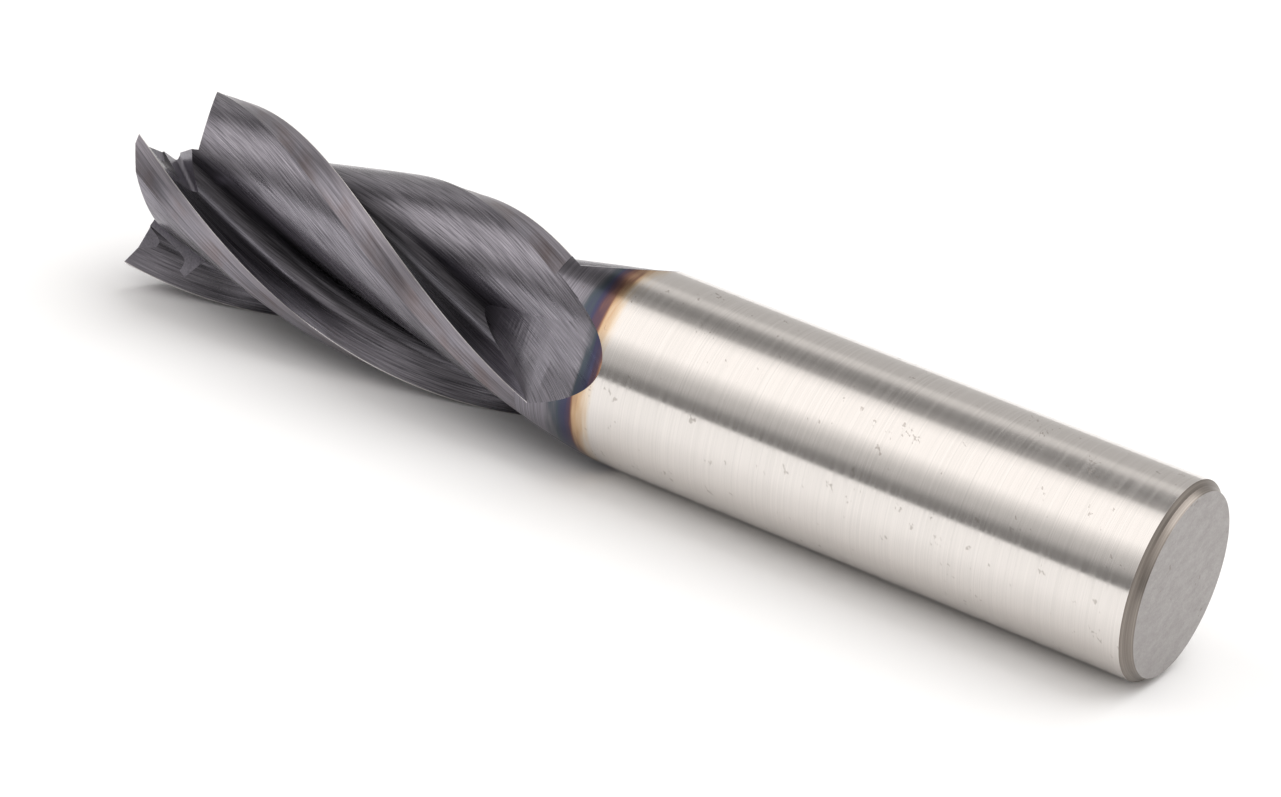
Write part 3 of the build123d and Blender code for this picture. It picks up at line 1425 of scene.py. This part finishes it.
        # Lighten the outer cutting edges: worn coating with nicks, and a painted highlight along them
        if finish.edge_width:
            inputs = {name: place.outputs[name] for name in ("Behind Edge", "Radius")}
            wear_and_highlight = sheet.group(self.wear_and_highlight, {"Place": section, "Width": finish.edge_width, **inputs})
            shade = sheet.blend(wear_and_highlight.outputs[0], shade, self.worn_edge_and_highlight)
        inputs = {"Height": lines["Height"], "Distance": self.line_height * MM}
        bump = sheet.out("ShaderNodeBump", {**inputs, "Strength": finish.line_depth})
        sheet.wire(shader, {"Base Color": shade, "Roughness": rough, "Normal": bump})
        return material

    def all_finishes(self) -> list[Material]:
        """Make a material for each family of faces.

        Returns:
            The materials in the families' order.
        """
        dark, light = colour(88, 86, 92), colour(170, 166, 174)
        finishes = {
            Surface.FLUTE: Finish(
                "coated_flute", Lay.ALONG_FLUTE, dark, light, edge_width=0.05, rough=0.22, rough_spread=0.1,
                lines_per_mm=12.0, line_depth=0.4, contrast=2.2, painted_core_shade=0.3, painted_root_shade=0.5,
                tinted=True, tint_drop=1.6,
            ),
            Surface.PRIMARY_LAND: Finish(
                "primary_land", Lay.ALONG_FLUTE, colour(118, 114, 120), colour(168, 163, 170),
                edge_width=0.06, lines_per_mm=10.0,
            ),
            Surface.SECONDARY_LAND: Finish(
                "secondary_land", Lay.ALONG_FLUTE, dark, light, brown=0.35, tinted=True, rough=0.28
            ),
            Surface.RUN_OUT: Finish(
                "flute_run_out", Lay.ALONG_HELIX, dark, light, tinted=True, tint_drop=1.6, rough=0.24,
                lines_per_mm=12.0, line_depth=0.3, contrast=2.0, painted_core_shade=0.45,
            ),
            Surface.TIP: Finish(
                "ground_tip", Lay.ACROSS_FACE, colour(112, 109, 116), colour(150, 147, 155), rough=0.28,
                lines_per_mm=8.0, line_depth=0.12,
            ),
            Surface.SHANK: Finish(
                "bare_shank", Lay.AROUND_SHANK, dark, light, tinted=True, rough=0.12, rough_spread=0.06,
                line_depth=0.07, stain=0.2, stain_size=0.32, stain_strength=0.35,
                lines_per_mm=14.0, stretch=0.05,
            ),
            Surface.CHAMFER: Finish(
                "shank_chamfer", Lay.AROUND_SHANK, colour(108, 100, 94), colour(156, 149, 142),
                lines_per_mm=12.0, line_depth=0.1,
            ),
            Surface.SHANK_END: Finish(
                "shank_face", Lay.ACROSS_FACE, colour(148, 144, 143), colour(170, 166, 164),
                rough=0.36, stain=0.2, stain_size=0.6, stain_strength=0.3, line_depth=0.08,
            ),
        }
        return [self.make(finishes[surface]) for surface in Surface]


@dataclass(frozen=True)
class Studio:
    """The camera at the photograph's viewing angle, the pale floor, the room's light and a soft lamp."""

    camera_place: tuple = (0.3738, -0.1143, -0.1336)
    camera_right: tuple = (-0.263378, 0.471122, -0.841831)
    camera_up: tuple = (0.416393, 0.842685, 0.341324)
    focal_length: float = 156.94
    sensor_width: float = 36.0
    floor_bearing: float = -134.0
    floor_size: float = 3.0
    floor_white: float = 0.9
    shank_radius: float = 8.0 * MM
    middle_height: float = 46.0 * MM
    lamp_way: tuple = (0.8, 0.35, -0.22)
    lamp_spread: float = 60.0
    lamp_strength: float = 1.6
    room_strength: float = 1.36
    room_warmth: tuple = (1.0, 0.975, 0.955)
    room_bands: tuple = (
        (-180, 0.4), (-60, 0.3), (-44, 0.16), (-33, 0.19), (-24, 0.4), (-13, 0.5), (-3, 0.72), (6, 0.96),
        (36, 0.96), (46, 0.78), (52, 0.3), (64, 0.18), (74, 0.24), (82, 0.52), (89, 0.58), (96, 0.42),
        (118, 0.42), (136, 0.48), (160, 0.45), (180, 0.4),
    )

    def camera(self) -> None:
        """Set up the camera."""
        data = bpy.data.cameras.new("camera")
        data.lens, data.sensor_width, data.sensor_fit = self.focal_length, self.sensor_width, "HORIZONTAL"
        data.clip_start, data.clip_end = 0.01, 10.0
        camera = show(bpy.data.objects.new("camera", data))
        right, up = Vector(self.camera_right).normalized(), Vector(self.camera_up).normalized()
        place = Matrix((right, up, right.cross(up))).transposed().to_4x4()
        place.translation = self.camera_place
        camera.matrix_world = place
        bpy.context.scene.camera = camera

    def floor_ways(self) -> tuple[Vector, Vector]:
        """Work out how the floor lies under the tool.

        Returns:
            The direction away from the floor, and the one along it and across the tool.
        """
        turn = math.radians(self.floor_bearing)
        up = -Vector((math.cos(turn), math.sin(turn), 0))
        return up, Vector((0, 0, 1)).cross(up)

    def floor(self) -> None:
        """Lay the pale floor under the lying tool, seen from above only."""
        up, side = self.floor_ways()
        centre = Vector((0, 0, self.middle_height)) - up * self.shank_radius
        half = self.floor_size / 2
        ends = ((-1, -1), (1, -1), (1, 1), (-1, 1))
        corners = [centre + side * half * a + Vector((0, 0, half * b)) for a, b in ends]
        mesh = bpy.data.meshes.new("floor")
        mesh.from_pydata(corners, [], [(0, 1, 2, 3)])
        mesh.update()
        if mesh.polygons[0].normal.dot(up) < 0:
            mesh.flip_normals()
        floor = show(bpy.data.objects.new("floor", mesh))
        mesh.materials.append(self.floor_material())

    def floor_material(self) -> Material:
        """Make the floor's white, which keeps the shadow and hides from below.

        Returns:
            The material.
        """
        material = bpy.data.materials.new("pale_floor")
        material.use_nodes = True
        material.node_tree.nodes.clear()
        sheet = NodeSheet(material.node_tree)
        paper = sheet.out("ShaderNodeBsdfDiffuse", {"Color": (*[self.floor_white] * 3, 1)})
        clear = sheet.out("ShaderNodeBsdfTransparent")
        below = sheet.add("ShaderNodeNewGeometry").outputs["Backfacing"]
        final = sheet.out("ShaderNodeMixShader", {0: below, 1: paper, 2: clear})
        sheet.add("ShaderNodeOutputMaterial", {"Surface": final})
        return material

    def world(self) -> None:
        """Make the soft room light, which looks white to the camera."""
        world = bpy.data.worlds.new("studio")
        world.use_nodes = True
        world.node_tree.nodes.clear()
        sheet = NodeSheet(world.node_tree)
        x, y, _ = sheet.split(sheet.add("ShaderNodeTexCoord").outputs["Generated"])
        share = sheet.math("MULTIPLY_ADD", sheet.math("ARCTAN2", y, x), 0.5 / math.pi, 0.5)
        stops = [
            (angle / 360 + 0.5, (*[level * warmth for warmth in self.room_warmth], 1.0))
            for angle, level in self.room_bands
        ]
        inputs = {"Color": sheet.ramp(share, stops), "Strength": self.room_strength}
        room = sheet.out("ShaderNodeBackground", inputs)
        white = sheet.out("ShaderNodeBackground", {"Color": (1, 1, 1, 1), "Strength": 1.0})
        seen = sheet.add("ShaderNodeLightPath").outputs["Is Camera Ray"]
        mixed = sheet.out("ShaderNodeMixShader", {0: seen, 1: room, 2: white})
        sheet.add("ShaderNodeOutputWorld", {"Surface": mixed})
        bpy.context.scene.world = world

    def lamp(self) -> None:
        """Hang a broad distant lamp over the lying tool."""
        data = bpy.data.lights.new("key_lamp", "SUN")
        data.angle, data.energy = math.radians(self.lamp_spread), self.lamp_strength
        lamp = show(bpy.data.objects.new("key_lamp", data))
        up, side = self.floor_ways()
        rise, reach, along = self.lamp_way
        lamp.location = up * rise + side * reach + Vector((0, 0, along))
        lamp.rotation_mode = "QUATERNION"
        lamp.rotation_quaternion = (-lamp.location).to_track_quat("-Z", "Y")

    def build(self) -> None:
        """Set the whole studio up."""
        self.camera()
        self.floor()
        self.world()
        self.lamp()


def main() -> None:
    """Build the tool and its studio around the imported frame."""
    logging.basicConfig(level=logging.INFO, format="%(name)s: %(message)s")
    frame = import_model()
    bpy.context.scene.view_settings.view_transform = "Standard"
    tool = DressedTool()
    body = tool.build(FinishShop(tool.cutters.screw).all_finishes())
    LOG.info("%s: %d triangles around %d nodes", body.name, len(body.data.polygons), len(frame["nodes"]))
    Studio().build()
    LOG.info("studio: camera, floor, room light and lamp")


if __name__ == "__main__":
    main()
